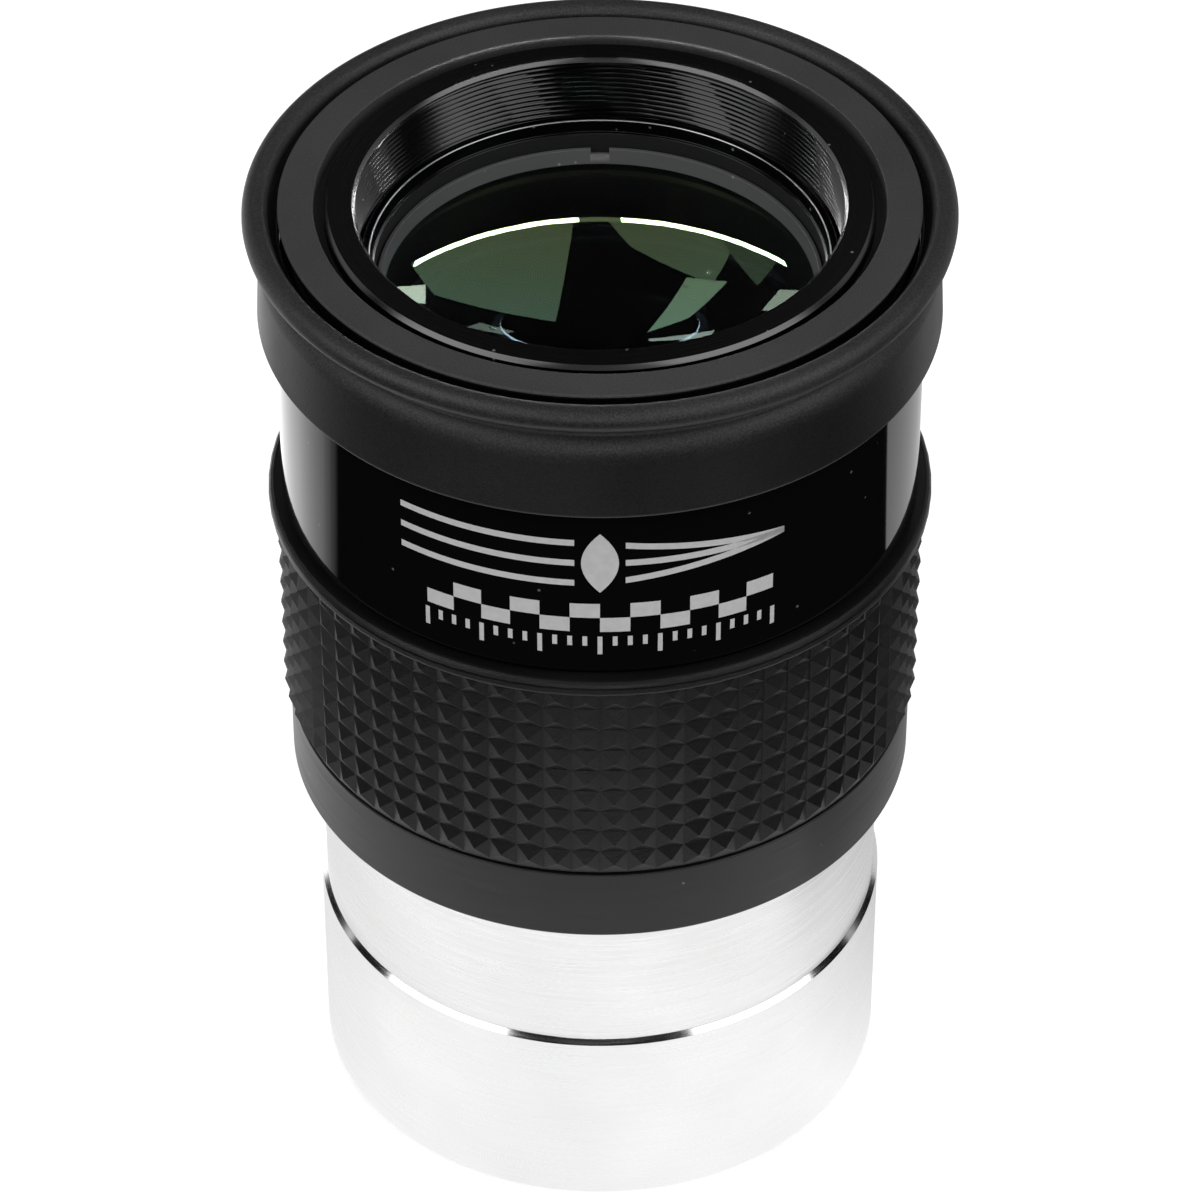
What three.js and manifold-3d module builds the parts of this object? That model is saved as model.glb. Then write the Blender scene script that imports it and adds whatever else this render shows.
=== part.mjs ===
// A 2 inch telescope eyepiece of the three-lens kind: a doublet at the eye end, a single field
// lens and a field stop, held in a turned housing with a rubber grip, a fold-down rubber
// eyecup and a push-fit barrel. All sizes are in millimetres. +Z points to the eye, and the
// origin is the centre of the barrel's open end.
import * as THREE from 'three';
import * as BufferGeometryUtils from 'three/addons/utils/BufferGeometryUtils.js';
import Module from 'manifold-3d';

const wasm = await Module();
wasm.setup();

// ---- Driving dimensions ----------------------------------------------------------------
const BARREL_R = 25.4;            // the standard 2 inch drawtube fit
const SEAT_Z = 34.7;              // shoulder that rests on the focuser, above the barrel's end
const RING_TOP_Z = 41.8;          // top of the plain ring above the shoulder
const GRIP_TOP_Z = 64.3;          // top of the rubber grip
const FACE_Z = 93.2;              // rubber face round the eye lens, the level the eye end is set by
const BODY_R = 27.5;              // glossy upper housing, and the plain ring
const GRIP_R = 28.1;              // grip, over the tips of its studs
const STUD_HEIGHT = 0.55;
const STUD_COLUMNS = 72;
const STUD_ROWS = 9;
const BORE_R = 20.8;              // housing's lens bore
const GAP = 0.2;                  // clearance between pieces that fit into each other
const SEAT_STEP = 0.6;            // depth of the register that the barrel's top sits in

// Numbers of flat sides that stand for a full circle.
const OUTER_SIDES = 48;
const INNER_SIDES = 36;

// ---- Barrel ----------------------------------------------------------------------------
const BARREL_WALL = 1.75;
const BARREL_EDGE = 0.4;          // chamfer at the open end
const UNDERCUT_DEPTH = 0.45;      // shallow safety groove that a thumbscrew bites into
const UNDERCUT_Z0 = 19.45;
const UNDERCUT_Z1 = 31.9;
const FILTER_R = 23.65;           // crest of the M48 x 0.75 filter thread
const FILTER_DEPTH = 7;
const SPIGOT_R = 23.8;            // barrel's male thread, crest radius
const SPIGOT_TOP_Z = 41.2;
const SPIGOT_BORE_R = 22.3;
const BARREL_RELIEF = 0.35;       // bore above the filter thread is relieved this much more
const STOP_LEDGE = 0.8;           // ledge in the spigot's bore that carries the field stop

// ---- Housing ---------------------------------------------------------------------------
const HOUSING_BASE_Z = 38.2;
const HOUSING_TOP_Z = 90.6;
const NECK_R = 26.9;              // the housing is slimmer above this height
const NECK_Z = 88.4;
const NOSE_R = 25.6;              // nose that fits into the plain ring
const NOSE_BORE_R = 24.1;         // clears the barrel's spigot
const NOSE_BORE_TOP_Z = 41.6;
const EYE_SEAT_R = 22.6;          // counterbore for the eye ring
const EYE_SEAT_Z = 84;
const GRIP_SEAT_R = 26.8;
const GRIP_SEAT_TOP = 0.5;        // the seat runs on above the grip by this much

// ---- Lenses, bottom to top -------------------------------------------------------------
const STOP_Z = 38.6;
const STOP_THICKNESS = 2;
const STOP_APERTURE_R = 14.5;     // a 29 mm field stop
const FIELD_LENS_R = 20.4;
const FIELD_LENS_Z = 47;          // its flat lower face
const FIELD_LENS_EDGE = 3;
const FIELD_LENS_CURVE = 45;
const DOUBLET_R = 18.6;
const EYE_LENS_Z = 81.3;          // lowest point of its hollow upper face
const EYE_LENS_CURVE = 85;
const FLINT_THICKNESS = 2;
const CEMENT_GAP = 0.15;
const CEMENT_CURVE = 45;
const CROWN_THICKNESS = 7.7;
const CROWN_CURVE = 80;
const CELL_TOP_Z = 87.5;
const CELL_BASE_Z = 72.1;
const CELL_STEP_Z = 83.7;         // the cell is slimmer above this
const RETAINER_TOP_Z = 85;
const EYE_OPENING_R = 18.2;       // clear radius over the eye lens

// ---- Eye end ---------------------------------------------------------------------------
const EYE_RING_R = 23.05;
const EYE_RING_TOP_Z = 93.1;
const EYE_RING_BASE_Z = 84.3;
const EYE_FLANGE_Z = 91.7;        // underside of the eye ring's flange, over the rubber
const EYE_BORE_R = 20.4;          // crest of the fine thread above the lens
const RUBBER_FACE_INNER_R = 23.9;
const RUBBER_FACE_OUTER_R = 26.9;
const LIP_R = 29.9;               // outside of the folded lip
const LIP_ROUND = 1.1;            // radius of the lip's round section
const LIP_Z = 92.4;
const SKIRT_EDGE_Z = 82.1;        // free edge of the folded skirt
const SKIRT_R = 28.95;
const SKIRT_INNER_R = 27.75;

// ---- Shape helpers ---------------------------------------------------------------------

// A solid of revolution about Z. The outline is a list of [radius, height] points that runs
// anticlockwise, up the outside, and is closed here unless it starts and ends on the axis.
function revolve(outline, sides) {
  const points = outline.map(([radius, height]) => new THREE.Vector2(radius, height));
  const onAxis = outline[0][0] === 0;
  if (!onAxis) points.push(points[0].clone());
  const geometry = new THREE.LatheGeometry(points, sides);
  geometry.rotateX(Math.PI / 2);
  return geometry;
}

// Points on an arc about [radius, height], from one angle to another in degrees, where 0 points
// outwards and 90 points up.
function arc(radius, height, size, fromDeg, toDeg, steps) {
  const points = [];
  for (let i = 0; i <= steps; i += 1) {
    const angle = THREE.MathUtils.degToRad(fromDeg + ((toDeg - fromDeg) * i) / steps);
    points.push([radius + size * Math.cos(angle), height + size * Math.sin(angle)]);
  }
  return points;
}

// How far a spherical surface of this curve radius falls between its middle and a radius.
function sagitta(curve, radius) {
  return curve - Math.sqrt(curve * curve - radius * radius);
}

// Points on a dome, from its rim to its middle. A direction of -1 makes it a bowl.
function dome(topZ, curve, rimR, direction, steps = 5) {
  const points = [];
  for (let i = 0; i <= steps; i += 1) {
    const radius = rimR * (1 - i / steps);
    points.push([radius, topZ - direction * sagitta(curve, radius)]);
  }
  return points;
}

// A plain ring with square corners.
function ring(innerR, outerR, z0, z1, sides) {
  return revolve([[innerR, z0], [outerR, z0], [outerR, z1], [innerR, z1]], sides);
}

function toManifold(geometry) {
  const bare = geometry.index ? geometry.toNonIndexed() : geometry.clone();
  bare.deleteAttribute('normal');
  bare.deleteAttribute('uv');
  const merged = BufferGeometryUtils.mergeVertices(bare, 1e-5);
  const mesh = new wasm.Mesh({
    numProp: 3,
    vertProperties: new Float32Array(merged.attributes.position.array),
    triVerts: new Uint32Array(merged.index.array),
  });
  return new wasm.Manifold(mesh);
}

function fromManifold(manifold) {
  const mesh = manifold.getMesh();
  const geometry = new THREE.BufferGeometry();
  geometry.setAttribute('position', new THREE.BufferAttribute(mesh.vertProperties, 3));
  geometry.setIndex(new THREE.BufferAttribute(mesh.triVerts, 1));
  geometry.computeVertexNormals();
  return geometry;
}

// Cuts two opposite spanner slots, along Y, into the face of a ring at a height.
function cutSpannerSlots(geometry, middleZ, reach) {
  const slotWidth = 1.6;
  const slotDepth = 1.2;
  const slot = new THREE.BoxGeometry(slotWidth, 2 * reach, slotDepth);
  slot.translate(0, 0, middleZ);
  return fromManifold(toManifold(geometry).subtract(toManifold(slot)));
}

// ---- The pieces ------------------------------------------------------------------------

// The chromed tube that slides into the focuser. Its threaded spigot stands inside the ring.
function barrelGeometry() {
  const undercutR = BARREL_R - UNDERCUT_DEPTH;
  const boreR = BARREL_R - BARREL_WALL - BARREL_RELIEF;
  const seatZ = SEAT_Z + SEAT_STEP - GAP;
  const ledgeR = SPIGOT_BORE_R - STOP_LEDGE;
  const boreTaper = 2;
  return revolve([
    [FILTER_R, 0],
    [BARREL_R - BARREL_EDGE, 0],
    [BARREL_R, BARREL_EDGE],
    [BARREL_R, UNDERCUT_Z0],
    [undercutR, UNDERCUT_Z0 + UNDERCUT_DEPTH],
    [undercutR, UNDERCUT_Z1],
    [BARREL_R, UNDERCUT_Z1],
    [BARREL_R, seatZ],
    [SPIGOT_R, seatZ],
    [SPIGOT_R, SPIGOT_TOP_Z],
    [SPIGOT_BORE_R + GAP, SPIGOT_TOP_Z],
    [SPIGOT_BORE_R + GAP, STOP_Z - GAP],
    [ledgeR, STOP_Z - GAP],
    [ledgeR, SEAT_Z],
    [boreR, SEAT_Z - boreTaper],
    [boreR, FILTER_DEPTH],
    [FILTER_R, FILTER_DEPTH],
  ], OUTER_SIDES);
}

// The plain satin ring between the barrel and the grip. Its lower face is the shoulder that
// rests on the focuser, and the barrel's top sits in a shallow register inside it.
function lowerRingGeometry() {
  const edge = 0.3;
  const registerZ = SEAT_Z + SEAT_STEP;
  const registerR = BARREL_R + GAP;
  const noseSeatZ = HOUSING_BASE_Z - GAP;
  return revolve([
    [SPIGOT_R + GAP, registerZ],
    [registerR, registerZ],
    [registerR, SEAT_Z],
    [BODY_R - edge, SEAT_Z],
    [BODY_R, SEAT_Z + edge],
    [BODY_R, RING_TOP_Z],
    [NOSE_R + GAP, RING_TOP_Z],
    [NOSE_R + GAP, noseSeatZ],
    [SPIGOT_R + GAP, noseSeatZ],
  ], OUTER_SIDES);
}

// The one-piece turned housing: glossy above the grip, bored right through for the lenses.
function housingGeometry() {
  const seatTopZ = GRIP_TOP_Z + GRIP_SEAT_TOP;
  return revolve([
    [NOSE_BORE_R, HOUSING_BASE_Z],
    [NOSE_R, HOUSING_BASE_Z],
    [NOSE_R, RING_TOP_Z + GAP],
    [GRIP_SEAT_R, RING_TOP_Z + GAP],
    [GRIP_SEAT_R, seatTopZ],
    [BODY_R, seatTopZ],
    [BODY_R, NECK_Z],
    [NECK_R, NECK_Z],
    [NECK_R, HOUSING_TOP_Z],
    [EYE_SEAT_R, HOUSING_TOP_Z],
    [EYE_SEAT_R, EYE_SEAT_Z],
    [BORE_R, EYE_SEAT_Z],
    [BORE_R, NOSE_BORE_TOP_Z],
    [NOSE_BORE_R, NOSE_BORE_TOP_Z],
  ], OUTER_SIDES);
}

// The moulded rubber band of the grip: rows of four-sided studs below a raised plain border.
function gripGeometry() {
  const borderR = 28.7;
  const borderZ = GRIP_TOP_Z - 1.4;
  const baseR = GRIP_SEAT_R + GAP;
  const valleyR = GRIP_R - STUD_HEIGHT;
  const bottomZ = RING_TOP_Z + 2 * GAP;
  const lowestStudZ = bottomZ + 0.2;
  const borderEdge = 0.5;
  const studEdges = [];
  for (let row = 0; row <= STUD_ROWS; row += 1) {
    const share = row / STUD_ROWS;
    studEdges.push([valleyR, THREE.MathUtils.lerp(lowestStudZ, borderZ, share)]);
  }
  const outline = [
    ...studEdges,
    [borderR, borderZ + borderEdge / 2],
    [borderR, GRIP_TOP_Z - borderEdge],
    [borderR - borderEdge, GRIP_TOP_Z],
    [baseR, GRIP_TOP_Z],
    [baseR, bottomZ],
    [valleyR, bottomZ],
  ];
  return studdedRing(outline, STUD_ROWS, STUD_COLUMNS, GRIP_R);
}

// A closed ring about Z whose outline runs anticlockwise. Each of the outline's first steps is a
// row of four-sided studs that rise to the tip radius, and the other steps are plain.
function studdedRing(outline, studRows, columns, tipR) {
  const positions = [];
  const faces = [];
  const addPoint = (radius, turn, height) => {
    const angle = (2 * Math.PI * turn) / columns;
    positions.push(radius * Math.cos(angle), radius * Math.sin(angle), height);
    return positions.length / 3 - 1;
  };
  const corners = outline.map(([radius, height]) => (
    Array.from({ length: columns }, (_, column) => addPoint(radius, column, height))
  ));
  outline.forEach(([, height], row) => {
    const above = (row + 1) % outline.length;
    const middleZ = (height + outline[above][1]) / 2;
    for (let column = 0; column < columns; column += 1) {
      const next = (column + 1) % columns;
      const a = corners[row][column];
      const b = corners[row][next];
      const c = corners[above][next];
      const d = corners[above][column];
      if (row < studRows) {
        const tip = addPoint(tipR, column + 0.5, middleZ);
        faces.push(a, b, tip, b, c, tip, c, d, tip, d, a, tip);
      } else {
        faces.push(a, b, c, a, c, d);
      }
    }
  });
  const geometry = new THREE.BufferGeometry();
  geometry.setAttribute('position', new THREE.Float32BufferAttribute(positions, 3));
  geometry.setIndex(faces);
  geometry.computeVertexNormals();
  return geometry;
}

// The satin ring that holds the rubber face down. The fine thread is in its bore.
function eyeRingGeometry() {
  const outerEdge = 0.35;
  const innerEdge = 0.3;
  const spigotR = EYE_SEAT_R - GAP;
  return revolve([
    [EYE_BORE_R, EYE_RING_BASE_Z],
    [spigotR, EYE_RING_BASE_Z],
    [spigotR, EYE_FLANGE_Z],
    [EYE_RING_R, EYE_FLANGE_Z],
    [EYE_RING_R, EYE_RING_TOP_Z - outerEdge],
    [EYE_RING_R - outerEdge, EYE_RING_TOP_Z],
    [EYE_BORE_R + innerEdge, EYE_RING_TOP_Z],
    [EYE_BORE_R, EYE_RING_TOP_Z - innerEdge],
  ], OUTER_SIDES);
}

// The fixed root of the eyecup: the flat rubber face and the collar that the skirt folds from.
function eyecupCollarGeometry() {
  const collarBaseZ = HOUSING_TOP_Z + GAP;
  const clampedTopZ = EYE_FLANGE_Z - GAP;
  const clampedR = 22.65;
  return revolve([
    [clampedR, collarBaseZ],
    [RUBBER_FACE_OUTER_R, collarBaseZ],
    [RUBBER_FACE_OUTER_R, FACE_Z],
    [RUBBER_FACE_INNER_R, FACE_Z],
    [RUBBER_FACE_INNER_R, clampedTopZ],
    [clampedR, clampedTopZ],
  ], OUTER_SIDES);
}

// The part of the eyecup that folds: a round lip over a hollow waist, a broad round shoulder and
// a skirt down to the free edge.
function eyecupSkirtGeometry() {
  const lipR = LIP_R - LIP_ROUND;
  const edgeRound = 0.45;
  const shoulderR = 28.7;
  const shoulderZ = 87.7;
  const shoulderRound = 2.4;
  const shoulderTurn = 60;
  const waistR = 27.5;
  const waistTopZ = 90.6;
  const waistInnerR = 27.12;
  const waistInnerZ = 89.7;
  const waistInnerTopZ = 91.3;
  const shoulderInnerZ = 88.7;
  const innerTopZ = LIP_Z - 0.6;
  return revolve([
    [SKIRT_INNER_R, SKIRT_EDGE_Z + edgeRound],
    [SKIRT_INNER_R + edgeRound, SKIRT_EDGE_Z],
    ...arc(SKIRT_R - edgeRound, SKIRT_EDGE_Z + edgeRound, edgeRound, -60, 0, 2),
    ...arc(shoulderR - shoulderRound, shoulderZ, shoulderRound, 0, shoulderTurn, 4),
    [waistR, waistTopZ],
    ...arc(lipR, LIP_Z, LIP_ROUND, -100, 170, 9),
    [SKIRT_INNER_R, innerTopZ],
    [waistInnerR, waistInnerTopZ],
    [waistInnerR, waistInnerZ],
    [SKIRT_INNER_R, shoulderInnerZ],
  ], OUTER_SIDES);
}

// The threaded cup that holds the doublet, with two steps above the lens.
function lensCellGeometry() {
  const upperR = 20.1;
  const lowerR = BORE_R - GAP;
  const wallR = DOUBLET_R + 0.4;
  const seatR = 17.4;
  const seatHeight = 1.1;
  const seatZ = CELL_BASE_Z + seatHeight;
  const mouthR = 19.35;
  const mouthBaseR = 19.2;
  const mouthDepth = 1.1;
  const mouthStep = 0.1;
  return revolve([
    [seatR, CELL_BASE_Z],
    [lowerR, CELL_BASE_Z],
    [lowerR, CELL_STEP_Z],
    [upperR, CELL_STEP_Z],
    [upperR, CELL_TOP_Z],
    [mouthR, CELL_TOP_Z],
    [mouthBaseR, CELL_TOP_Z - mouthDepth],
    [wallR, CELL_TOP_Z - mouthDepth - mouthStep],
    [wallR, seatZ],
    [seatR, seatZ],
  ], INNER_SIDES);
}

// The ring that holds the doublet in its cell, with two spanner slots.
function eyeLensRetainerGeometry() {
  const outerR = DOUBLET_R + GAP;
  const height = 1.5;
  const bevel = 0.25;
  const underside = 0.15;
  const body = revolve([
    [EYE_OPENING_R, RETAINER_TOP_Z - height + underside],
    [outerR, RETAINER_TOP_Z - height],
    [outerR, RETAINER_TOP_Z],
    [EYE_OPENING_R + bevel, RETAINER_TOP_Z],
  ], INNER_SIDES);
  return cutSpannerSlots(body, RETAINER_TOP_Z + GAP, outerR + 1);
}

// The flint element of the doublet, hollow towards the eye.
function eyeLensFlintGeometry() {
  return revolve([
    ...dome(EYE_LENS_Z - FLINT_THICKNESS, CEMENT_CURVE, DOUBLET_R, 1).reverse(),
    ...dome(EYE_LENS_Z, EYE_LENS_CURVE, DOUBLET_R, -1),
  ], INNER_SIDES);
}

// The crown element, domed on both faces and cemented to the flint's lower face.
function eyeLensCrownGeometry() {
  const cementZ = EYE_LENS_Z - FLINT_THICKNESS - CEMENT_GAP;
  return revolve([
    ...dome(cementZ - CROWN_THICKNESS, CROWN_CURVE, DOUBLET_R, -1).reverse(),
    ...dome(cementZ, CEMENT_CURVE, DOUBLET_R, 1),
  ], INNER_SIDES);
}

// The blackened tube that keeps the two lens groups apart. It rests on the field lens's dome.
function lensSpacerGeometry() {
  const boreR = 18.8;
  const rimZ = FIELD_LENS_Z + FIELD_LENS_EDGE;
  const domeRise = sagitta(FIELD_LENS_CURVE, FIELD_LENS_R) - sagitta(FIELD_LENS_CURVE, boreR);
  return ring(boreR, BORE_R - GAP, rimZ + domeRise + GAP, CELL_BASE_Z - GAP, INNER_SIDES);
}

// The field lens: flat towards the telescope and domed towards the eye.
function fieldLensGeometry() {
  const rimZ = FIELD_LENS_Z + FIELD_LENS_EDGE;
  const topZ = rimZ + sagitta(FIELD_LENS_CURVE, FIELD_LENS_R);
  return revolve([
    [0, FIELD_LENS_Z],
    [FIELD_LENS_R, FIELD_LENS_Z],
    ...dome(topZ, FIELD_LENS_CURVE, FIELD_LENS_R, 1),
  ], INNER_SIDES);
}

// The threaded ring that holds the field lens up against the spacer.
function fieldLensRetainerGeometry() {
  const height = 2.4;
  const boreR = 19;
  const topZ = FIELD_LENS_Z - GAP;
  const body = ring(boreR, BORE_R - GAP, topZ - height, topZ, INNER_SIDES);
  return cutSpannerSlots(body, topZ - height - GAP, BORE_R);
}

// The field stop: a ring in the barrel's spigot that narrows to a thin edge.
function fieldStopGeometry() {
  const lip = 0.3;
  const rimWidth = 3;
  return revolve([
    [STOP_APERTURE_R, STOP_Z + STOP_THICKNESS - lip],
    [SPIGOT_BORE_R - rimWidth, STOP_Z],
    [SPIGOT_BORE_R, STOP_Z],
    [SPIGOT_BORE_R, STOP_Z + STOP_THICKNESS],
    [STOP_APERTURE_R, STOP_Z + STOP_THICKNESS],
  ], INNER_SIDES);
}

// ---- Assembly --------------------------------------------------------------------------

const BLACK_GLOSS = { color: 0x060607, roughness: 0.12, metalness: 0.1 };
const BLACK_SATIN = { color: 0x1b1b1d, roughness: 0.45, metalness: 0.3 };
const BLACK_MATT = { color: 0x0a0a0b, roughness: 0.8, metalness: 0.1 };
const RUBBER = { color: 0x202022, roughness: 0.85, metalness: 0 };
const CHROME = { color: 0xdedede, roughness: 0.25, metalness: 1 };
const COATED_GLASS = { color: 0x35553f, roughness: 0.05, metalness: 0 };

const PIECES = [
  ['barrel', barrelGeometry, CHROME],
  ['field_stop', fieldStopGeometry, BLACK_MATT],
  ['lower_ring', lowerRingGeometry, BLACK_SATIN],
  ['housing', housingGeometry, BLACK_GLOSS],
  ['grip_band', gripGeometry, RUBBER],
  ['field_lens_retainer', fieldLensRetainerGeometry, BLACK_MATT],
  ['field_lens', fieldLensGeometry, COATED_GLASS],
  ['lens_spacer', lensSpacerGeometry, BLACK_MATT],
  ['lens_cell', lensCellGeometry, BLACK_GLOSS],
  ['eye_lens_crown', eyeLensCrownGeometry, COATED_GLASS],
  ['eye_lens_flint', eyeLensFlintGeometry, COATED_GLASS],
  ['eye_lens_retainer', eyeLensRetainerGeometry, BLACK_GLOSS],
  ['eye_ring', eyeRingGeometry, BLACK_SATIN],
  ['eyecup_collar', eyecupCollarGeometry, RUBBER],
  ['eyecup_skirt', eyecupSkirtGeometry, RUBBER],
];

const eyepiece = new THREE.Group();
for (const [name, makeGeometry, finish] of PIECES) {
  const mesh = new THREE.Mesh(makeGeometry(), new THREE.MeshStandardMaterial(finish));
  mesh.name = name;
  eyepiece.add(mesh);
}

export default eyepiece;
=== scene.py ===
# The looks of a 2 inch telescope eyepiece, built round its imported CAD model. Lengths in this
# script are in millimetres until they reach a mesh, a light or the camera, which are in metres.
import math

import bpy
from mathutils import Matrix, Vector


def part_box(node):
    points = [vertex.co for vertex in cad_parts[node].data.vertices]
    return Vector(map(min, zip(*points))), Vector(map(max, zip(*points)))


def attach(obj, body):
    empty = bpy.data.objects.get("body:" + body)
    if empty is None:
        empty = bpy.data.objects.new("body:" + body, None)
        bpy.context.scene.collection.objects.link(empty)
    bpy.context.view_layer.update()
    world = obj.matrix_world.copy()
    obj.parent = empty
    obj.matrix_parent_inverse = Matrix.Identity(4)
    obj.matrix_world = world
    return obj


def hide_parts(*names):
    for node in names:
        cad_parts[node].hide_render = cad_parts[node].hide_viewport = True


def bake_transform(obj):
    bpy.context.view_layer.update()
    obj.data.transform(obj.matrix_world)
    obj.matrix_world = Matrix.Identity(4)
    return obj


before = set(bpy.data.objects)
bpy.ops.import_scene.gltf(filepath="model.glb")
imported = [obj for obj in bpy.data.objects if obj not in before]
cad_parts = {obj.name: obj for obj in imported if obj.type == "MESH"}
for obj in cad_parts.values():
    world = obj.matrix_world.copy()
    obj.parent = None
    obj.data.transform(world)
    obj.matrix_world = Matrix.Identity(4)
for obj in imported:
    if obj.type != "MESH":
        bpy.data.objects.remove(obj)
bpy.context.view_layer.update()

MM = 0.001
SMOOTH_SIDES = 256                # columns round a turned piece
ON_AXIS = 1e-6                    # a radius below this is a point on the axis
GAP = 0.2                         # clearance between pieces that fit into each other


# ---- Sizes read from the frame ---------------------------------------------------------------

def outer_radius(node):
    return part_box(node)[1].x / MM


def bottom(node):
    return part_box(node)[0].z / MM


def top(node):
    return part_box(node)[1].z / MM


BARREL_R = outer_radius("barrel")
BARREL_TOP = top("barrel")
SHOULDER_Z = bottom("lower_ring")
RING_R = outer_radius("lower_ring")
RING_TOP = top("lower_ring")
BODY_R = outer_radius("housing")
BODY_BOTTOM = bottom("housing")
BODY_TOP = top("housing")
GRIP_BOTTOM = bottom("grip_band")
GRIP_TOP = top("grip_band")
BORDER_R = outer_radius("grip_band")
EYE_RING_R = outer_radius("eye_ring")
EYE_RING_TOP = top("eye_ring")
EYE_RING_BOTTOM = bottom("eye_ring")
FACE_Z = top("eyecup_collar")
COLLAR_BOTTOM = bottom("eyecup_collar")
LIP_R = outer_radius("eyecup_skirt")
SKIRT_BOTTOM = bottom("eyecup_skirt")
CELL_R = outer_radius("lens_cell")
CELL_TOP = top("lens_cell")
CELL_BOTTOM = bottom("lens_cell")
RETAINER_R = outer_radius("eye_lens_retainer")
RETAINER_TOP = top("eye_lens_retainer")
RETAINER_BOTTOM = bottom("eye_lens_retainer")
EYE_LENS_RIM = top("eye_lens_flint")
DOUBLET_R = outer_radius("eye_lens_flint")
SPACER_R = outer_radius("lens_spacer")
SPACER_TOP = top("lens_spacer")
SPACER_BOTTOM = bottom("lens_spacer")
FIELD_LENS_R = outer_radius("field_lens")
FIELD_LENS_BOTTOM = bottom("field_lens")
FIELD_RETAINER_TOP = top("field_lens_retainer")
FIELD_RETAINER_BOTTOM = bottom("field_lens_retainer")
STOP_R = outer_radius("field_stop")
STOP_BOTTOM = bottom("field_stop")
STOP_TOP = top("field_stop")


# ---- Outlines --------------------------------------------------------------------------------
# An outline is a list of (radius, height) corners that runs anticlockwise, up the outside. A
# corner with a third number is rounded to that radius.

def rounded(corners, steps=4):
    """The outline with its rounded corners drawn as arcs."""
    points = []
    count = len(corners)
    for index, corner in enumerate(corners):
        here = Vector(corner[:2])
        round_size = corner[2] if len(corner) > 2 else 0
        if not round_size:
            points.append(tuple(here))
            continue
        to_last = (Vector(corners[index - 1][:2]) - here).normalized()
        to_next = (Vector(corners[(index + 1) % count][:2]) - here).normalized()
        half_angle = to_last.angle(to_next) / 2
        reach = round_size / math.tan(half_angle)
        centre = here + (to_last + to_next).normalized() * (round_size / math.sin(half_angle))
        start = here + to_last * reach - centre
        end = here + to_next * reach - centre
        for step in range(steps + 1):
            share = step / steps
            spoke = start.lerp(end, share).normalized() * round_size
            points.append(tuple(centre + spoke))
    return points


def arc(radius, height, size, from_deg, to_deg, steps):
    """Points on an arc about a centre, where 0 degrees points outwards and 90 points up."""
    points = []
    for step in range(steps + 1):
        angle = math.radians(from_deg + (to_deg - from_deg) * step / steps)
        points.append((radius + size * math.cos(angle), height + size * math.sin(angle)))
    return points


def sagitta(curve, radius):
    return curve - math.sqrt(curve * curve - radius * radius)


def dome(top_z, curve, rim_r, direction, steps=24):
    """Points on a spherical face from its rim to the axis; a direction of -1 makes a bowl."""
    points = []
    for step in range(steps + 1):
        radius = rim_r * (1 - step / steps)
        points.append((radius, top_z - direction * sagitta(curve, radius)))
    return points


def straight(radius, z0, z1, spacing):
    """Points up or down a straight wall, close enough together to carry a thread."""
    steps = max(1, round(abs(z1 - z0) / spacing))
    return [(radius, z0 + (z1 - z0) * step / steps) for step in range(steps + 1)]


# ---- Meshes ----------------------------------------------------------------------------------

def new_piece(name, vertices, faces, smooth_angle=32):
    """A mesh object from points in millimetres."""
    mesh = bpy.data.meshes.new(name)
    mesh.from_pydata([[value * MM for value in point] for point in vertices], [], faces)
    mesh.update()
    mesh.shade_smooth()
    mesh.set_sharp_from_angle(angle=math.radians(smooth_angle))
    piece = bpy.data.objects.new(name, mesh)
    bpy.context.scene.collection.objects.link(piece)
    return piece


def keep_walls_flat(piece):
    """Lets the large faces set the shading, so that a small rounded edge doesn't tilt it."""
    weighted = piece.modifiers.new("flat_walls", "WEIGHTED_NORMAL")
    weighted.mode = "FACE_AREA"
    weighted.weight = 80
    weighted.keep_sharp = True


def lathe(name, outline, sides=SMOOTH_SIDES, offset=None, smooth_angle=32, flat_walls=True):
    """A turned piece. offset(radius, height, turn) gives what to add to a point's radius."""
    vertices = []
    rows = []
    for radius, height in outline:
        if radius < ON_AXIS:
            rows.append([len(vertices)] * sides)
            vertices.append((0, 0, height))
            continue
        row = []
        for column in range(sides):
            turn = column / sides
            reach = radius + (offset(radius, height, turn) if offset else 0)
            angle = 2 * math.pi * turn
            row.append(len(vertices))
            vertices.append((reach * math.cos(angle), reach * math.sin(angle), height))
        rows.append(row)
    faces = []
    open_ended = outline[0][0] < ON_AXIS
    row_count = len(rows) - 1 if open_ended else len(rows)
    for index in range(row_count):
        low = rows[index]
        high = rows[(index + 1) % len(rows)]
        for column in range(sides):
            right = (column + 1) % sides
            corners = [low[column], low[right], high[right], high[column]]
            faces.append(list(dict.fromkeys(corners)))
    piece = new_piece(name, vertices, faces, smooth_angle)
    if flat_walls:
        keep_walls_flat(piece)
    return piece


def cut_box(piece, width, length, z0, z1):
    """Cuts a box centred on the axis, its length along Y, out of a piece."""
    vertices = [(x * width / 2, y * length / 2, z)
                for z in (z0, z1) for y in (-1, 1) for x in (-1, 1)]
    faces = [[0, 2, 3, 1], [4, 5, 7, 6], [0, 1, 5, 4], [2, 6, 7, 3], [0, 4, 6, 2], [1, 3, 7, 5]]
    cutter = new_piece("cutter", vertices, faces)
    cut = piece.modifiers.new("slots", "BOOLEAN")
    cut.operation = "DIFFERENCE"
    cut.solver = "EXACT"
    cut.object = cutter
    graph = bpy.context.evaluated_depsgraph_get()
    made = bpy.data.meshes.new_from_object(piece.evaluated_get(graph))
    piece.modifiers.clear()
    piece.data = made
    bpy.data.objects.remove(cutter)


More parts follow.
